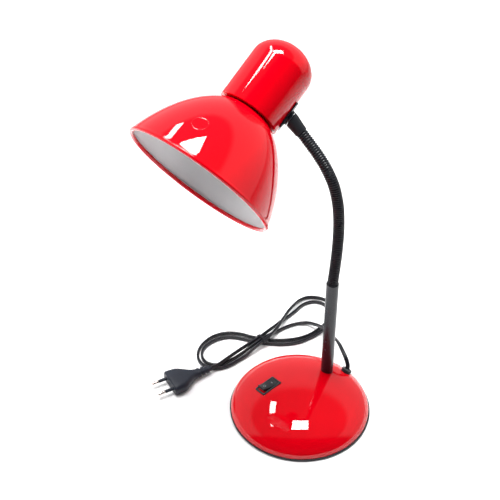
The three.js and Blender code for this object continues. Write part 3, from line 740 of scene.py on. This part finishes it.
def build_disc():
    """The plain round mark on the shade: a thin disc with a raised edge that follows the surface."""
    outline = shade_outline(400)
    centre = min(range(len(outline)), key=lambda i: abs(outline[i][1] - DISC_H))

    def on_shade(across, up, out):
        i = min(range(len(outline)), key=lambda k: abs(run[k] - run[centre] - up))
        r, h = outline[i]
        a = math.radians(DISC_TURN) + across / r
        x0, y0 = outline[max(i - 1, 0)]
        x1, y1 = outline[min(i + 1, len(outline) - 1)]
        way = Vector((x1 - x0, y1 - y0)).normalized()
        r, h = r + out * way.y, h - out * way.x
        return HEAD @ Vector((r * math.cos(a), r * math.sin(a), h))

    run = lengths_along([Vector(p) for p in outline])
    circle = [(math.cos(2 * math.pi * k / 48), math.sin(2 * math.pi * k / 48)) for k in range(48)]
    layers = [(0.1, -0.2), (1.0, -0.2), (1.0, 0.12), (0.98, 0.2), (0.93, 0.2), (0.91, 0.1)]
    layers += [(s, 0.1) for s in (0.8, 0.6, 0.4, 0.2, 0.05)]
    rings = [[on_shade(x * s * DISC_R, y * s * DISC_R, out) for x, y in circle] for s, out in layers]
    piece("blank_disc", skin(rings), "head", RED)


# ---- Cord, tie and plug ----
CORD_W, CORD_T = 5.0, 3.1
CORD_STEP = 1.6
CORD_TWIST = 110.0  # length over which it turns from lying across to standing on its edge
CORD_ROUTE = [
    (12.7, 69.8, 21.2), (11.5, 71.3, 25), (6, 74, 30.5), (-2.5, 78, 34), (-12.5, 83.5, 35),
    (-26, 91, 31.5), (-42, 99.5, 24.5), (-58, 108, 16), (-71.5, 112, 9), (-82.5, 112, 5),
    (-91.5, 106, 3), (-97.5, 95.5, 2.7),
    (-101, 84, 2.7), (-102.6, 73, 3.2), (-103, 59, 6.8), (-103.2, 46, 8.8),
    # inner turn of the near loop
    (-104.8, 30, 7), (-107.2, 14, 3.4), (-109.5, -2, 2.7), (-112.3, -13.5, 2.7), (-118.8, -20.8, 2.7),
    (-128, -24, 2.7), (-137, -21.5, 2.7), (-144, -15, 2.7), (-148, -6, 2.7), (-148.5, 4, 2.7),
    (-146, 15, 2.7), (-140.5, 25, 2.7), (-130, 33, 2.7), (-116.5, 39.5, 2.7), (-103.5, 46.5, 2.7),
    # outer turn of the far loop
    (-90.5, 55.5, 2.7), (-79, 66.5, 2.7), (-70.5, 79, 2.7), (-65.5, 94, 2.7), (-63, 111, 2.7),
    (-64, 129.5, 2.7), (-71.5, 147, 2.7), (-84, 158.5, 2.7), (-98, 161.5, 2.7), (-109.5, 157, 2.8),
    (-117.5, 148.5, 3.2), (-120, 137, 4), (-118, 123.5, 6), (-113.5, 107.5, 8.2), (-108.5, 92, 8.8),
    (-102.4, 73.5, 8.8), (-99.6, 59, 8.8), (-99.2, 46, 8.8),
    # outer turn of the near loop
    (-100, 31, 7.2), (-101, 17.5, 3.6), (-102.5, 2.5, 2.7), (-105, -11, 2.7), (-110.5, -21.5, 2.7),
    (-119.5, -28, 2.7), (-130, -29.5, 2.7), (-140.5, -25.5, 2.7), (-149, -16.5, 2.7), (-154, -3, 2.7),
    (-154.5, 10.5, 2.7), (-150.5, 23, 2.7), (-143.5, 32.5, 2.7), (-133, 40, 2.7), (-121, 45, 2.7),
    (-109.5, 50.5, 2.7),
    # inner turn of the far loop
    (-97.5, 58, 2.7), (-86, 69, 2.7), (-76, 82, 2.7), (-70, 96.5, 2.7), (-68, 112.5, 2.7),
    (-69, 128.5, 2.7), (-76, 143.5, 2.7), (-87, 152.5, 2.7), (-97.5, 153.5, 2.7), (-106, 149, 2.7),
    (-110.8, 141, 2.7), (-112.5, 131, 2.7), (-111.5, 119.5, 2.7), (-111, 107, 2.8), (-111.5, 94, 3),
    (-110.4, 80, 4.2), (-108.2, 63, 7.4), (-107.2, 47, 8.8),
    # to the plug
    (-108.4, 31, 8.8), (-109.4, 16, 8.7), (-110.2, 2, 8.5), (-110.8, -11, 8),
    (-112, -21.5, 7.3), (-114.15, -29.1, 7),
]


def twin_section(steps=9):
    """Two round cores side by side, with a shallow groove between them: (along the width, across it)."""
    r = CORD_T / 2
    half = CORD_W / 2 - r
    right = arc((half, 0), r, -125, 125, steps)
    left = arc((-half, 0), r, 55, 305, steps)
    return right + left


def width_way(way, along):
    """The direction of the cord's width: across the view at the bush, and upright from there on."""
    share = min(along / CORD_TWIST, 1)
    share = share * share * (3 - 2 * share)
    hint = Vector((-0.8, -0.6, 0.1)).lerp(Vector((0, 0, 1)), share)
    return (hint - way * hint.dot(way)).normalized()


def build_cord():
    line = curve_through([Vector(p) for p in CORD_ROUTE], CORD_STEP)
    ways, along = tangents(line), lengths_along(line)
    rings = []
    for spot, way, s in zip(line, ways, along):
        wide = width_way(way, s)
        thick = way.cross(wide)
        rings.append([spot + wide * u + thick * v for u, v in twin_section()])
    made = piece("flex", skin(rings), "base", VINYL, ["cord_lead"], sharp=60)
    return made, line, along[-1]


def build_tie():
    spot = centre_of("cord_tie")
    at = axes(spot, (0.12, 0.99, 0), (1, 0, 0))
    outer, inner = rounded_box(14.4, 7.2, 3.0), rounded_box(13.0, 6.0, 2.5)
    band = [(outer, -1.5), (outer, 1.5), (inner, 1.5), (inner, -1.5)]
    rings = [[at @ Vector((x, y, h)) for x, y in outline] for outline, h in band]
    shape = skin(rings, True)
    curls = []
    for side in (-1, 1):
        place = at @ Matrix.Translation((7.0 + 1.2 * side, -2.6, 1.6 * side))
        curl = [(1.0, -0.8), (1.7, -0.8), (1.7, 0.8), (1.0, 0.8)]
        curls.append(turned(curl, place @ Matrix.Rotation(math.radians(78), 4, "X"), 24, True))
    return piece("tie", joined(shape, *curls), "base", VINYL, ["cord_tie"])


PLUG_L, PIN_PITCH = 54.0, 18.6


def plug_frame():
    """x runs from the plug's pin face back to the cord."""
    face = (centre_of("plug_sleeve_1") + centre_of("plug_sleeve_2")) / 2
    across = (centre_of("plug_pin_2") - centre_of("plug_pin_1")).normalized()
    back = across.cross(Vector((0, 0, 1)))
    if back.dot(Vector(CORD_ROUTE[-1]) - face) < 0:
        back = -back
    return axes(face + back * 5.15, back, across)


def build_plug():
    at = plug_frame()
    sections = [
        (0.0, 32.6, 11.6, 4.6), (0.5, 33.8, 12.9, 5.0), (1.6, 35.0, 13.6, 5.2), (6, 35.0, 13.6, 5.4),
        (13, 34.0, 13.6, 5.6), (17, 30.5, 13.4, 5.6), (20, 26.4, 12.9, 5.5), (24, 20.6, 12.0, 5.0),
        (28, 15.4, 11.0, 4.6), (31, 12.6, 10.2, 4.4), (34, 11.3, 9.4, 4.2), (35.4, 10.8, 9.0, 4.0),
    ]
    for i in range(3):
        start, w = 36.0 + 5.5 * i, 11.2 - i
        sections += [
            (start, w, 9.0 - 0.5 * i, 3.6), (start + 3.2, w, 8.8 - 0.5 * i, 3.6),
            (start + 3.5, 7.2, 6.4 - 0.4 * i, 2.8), (start + 5.3, 7.2, 6.2 - 0.4 * i, 2.8),
        ]
    sections.append((PLUG_L, 6.8, 5.2, 2.4))
    body = stacked([(rounded_box(w, h, min(r, h / 2 - 0.05), 8), x) for x, w, h, r in sections], at)
    pieces = [piece("plug", body, "base", PLUG, ["plug_body"], sharp=35)]
    for i, side in enumerate((-1, 1)):
        to_pin = at @ Matrix.Translation((side * PIN_PITCH / 2, 0, 0)) @ Matrix.Rotation(math.pi, 4, "X")
        pin = rounded([(0, -6), (1.1, -6), (1.1, 10.3), (2, 10.3), (2, 19, 1.1), (0, 19)])
        sleeve = rounded([(1.2, -2), (1.95, -2), (1.95, 10.1, 0.2), (1.2, 10.1)])
        n = i + 1
        bare, cover = turned(pin, to_pin, 40), turned(sleeve, to_pin, 40, True)
        pieces.append(piece(f"pin_{n}", bare, "base", NICKEL, [f"plug_pin_{n}"]))
        pieces.append(piece(f"pin_sleeve_{n}", cover, "base", PLUG, [f"plug_sleeve_{n}"]))
    return pieces


def finish_carried_nodes():
    """The CAD nodes that still show take the material of their own slot."""
    slots = {row["node"]: row["material_slot"] for row in frame["record"]["subparts"]}
    for name, node in frame["nodes"].items():
        if not node.hide_render:
            node.data.materials.clear()
            node.data.materials.append(CARRIED[slots[name]])


flex, cord_line, cord_length = build_cord()
tie = build_tie()
plug_pieces = build_plug()
build_base()
build_stem()
build_switch()
build_bush()
build_neck()
build_collar()
build_shade()
build_cap()
build_saddle()
build_holder()
build_disc()
finish_carried_nodes()


# ---- Floor and light ----
def build_floor():
    mesh = bpy.data.meshes.new("floor")
    mesh.from_pydata([(-6, -6, 0), (6, -6, 0), (6, 6, 0), (-6, 6, 0)], [], [(0, 1, 2, 3)])
    floor = bpy.data.objects.new("floor", mesh)
    bpy.context.scene.collection.objects.link(floor)
    mesh.materials.append(plain("floor", (0.93, 0.93, 0.935), 0.9, specular=0.0))


def softbox(name, at, width, height, power, long_way, mirrored=True):
    """A rectangular light that faces the origin. One that isn't mirrored shows in no reflection."""
    light = bpy.data.lights.new(name, "AREA")
    light.shape = "RECTANGLE"
    light.size, light.size_y = width * MM, height * MM
    light.energy = power
    obj = bpy.data.objects.new(name, light)
    bpy.context.scene.collection.objects.link(obj)
    obj.matrix_world = axes(Vector(at) * MM, at, long_way)
    obj.visible_camera = False
    obj.visible_glossy = mirrored


DARK_SIDE_WAY = (0.695, -0.719, 0.0)
WALL_LEVEL, CEILING_LEVEL, DARK_SIDE_SHARE = 0.85, 0.25, 0.05


def build_studio():
    """A white studio with a dark side behind the camera, as a world that depends on direction."""
    world = bpy.data.worlds.new("studio")
    bpy.context.scene.world = world
    world.use_nodes = True
    nodes, links = world.node_tree.nodes, world.node_tree.links
    nodes.clear()
    where = nodes.new("ShaderNodeTexCoord")
    toward = nodes.new("ShaderNodeVectorMath")
    toward.operation = "DOT_PRODUCT"
    toward.inputs[1].default_value = DARK_SIDE_WAY
    links.new(where.outputs["Generated"], toward.inputs[0])
    side = nodes.new("ShaderNodeMapRange")
    side.interpolation_type = "SMOOTHSTEP"
    side.inputs["From Min"].default_value = 0.12
    side.inputs["From Max"].default_value = 0.3
    side.inputs["To Min"].default_value = 1.0
    side.inputs["To Max"].default_value = DARK_SIDE_SHARE
    links.new(toward.outputs["Value"], side.inputs["Value"])
    split = nodes.new("ShaderNodeSeparateXYZ")
    links.new(where.outputs["Generated"], split.inputs[0])
    ceiling = nodes.new("ShaderNodeMapRange")
    ceiling.interpolation_type = "SMOOTHSTEP"
    ceiling.inputs["From Min"].default_value = 0.66
    ceiling.inputs["From Max"].default_value = 0.76
    ceiling.inputs["To Min"].default_value = WALL_LEVEL
    ceiling.inputs["To Max"].default_value = CEILING_LEVEL
    links.new(split.outputs["Z"], ceiling.inputs["Value"])
    level = nodes.new("ShaderNodeMath")
    level.operation = "MULTIPLY"
    links.new(side.outputs["Result"], level.inputs[0])
    links.new(ceiling.outputs["Result"], level.inputs[1])
    path = nodes.new("ShaderNodeLightPath")
    seen = nodes.new("ShaderNodeMix")
    seen.data_type = "FLOAT"
    seen.inputs["B"].default_value = 1.0
    links.new(path.outputs["Is Camera Ray"], seen.inputs["Factor"])
    links.new(level.outputs["Value"], seen.inputs["A"])
    background = nodes.new("ShaderNodeBackground")
    out = nodes.new("ShaderNodeOutputWorld")
    links.new(seen.outputs["Result"], background.inputs["Strength"])
    links.new(background.outputs["Background"], out.inputs["Surface"])


build_floor()
build_studio()
softbox("overhead_box", (-190, 60, 1495), 600, 300, 24, (0.7, 0.7, 0))
softbox("overhead_strip", (-700, 30, 1460), 800, 120, 8, (0.44, -0.85, 0.29))
softbox("overhead_fill", (0, 0, 2200), 2400, 2400, 30, (1, 0, 0), mirrored=False)
softbox("left_fill", (-1300, -1000, 800), 1200, 900, 16, (0, 0, 1), mirrored=False)
bpy.context.scene.view_settings.view_transform = "Standard"
bpy.context.scene.view_settings.look = "None"
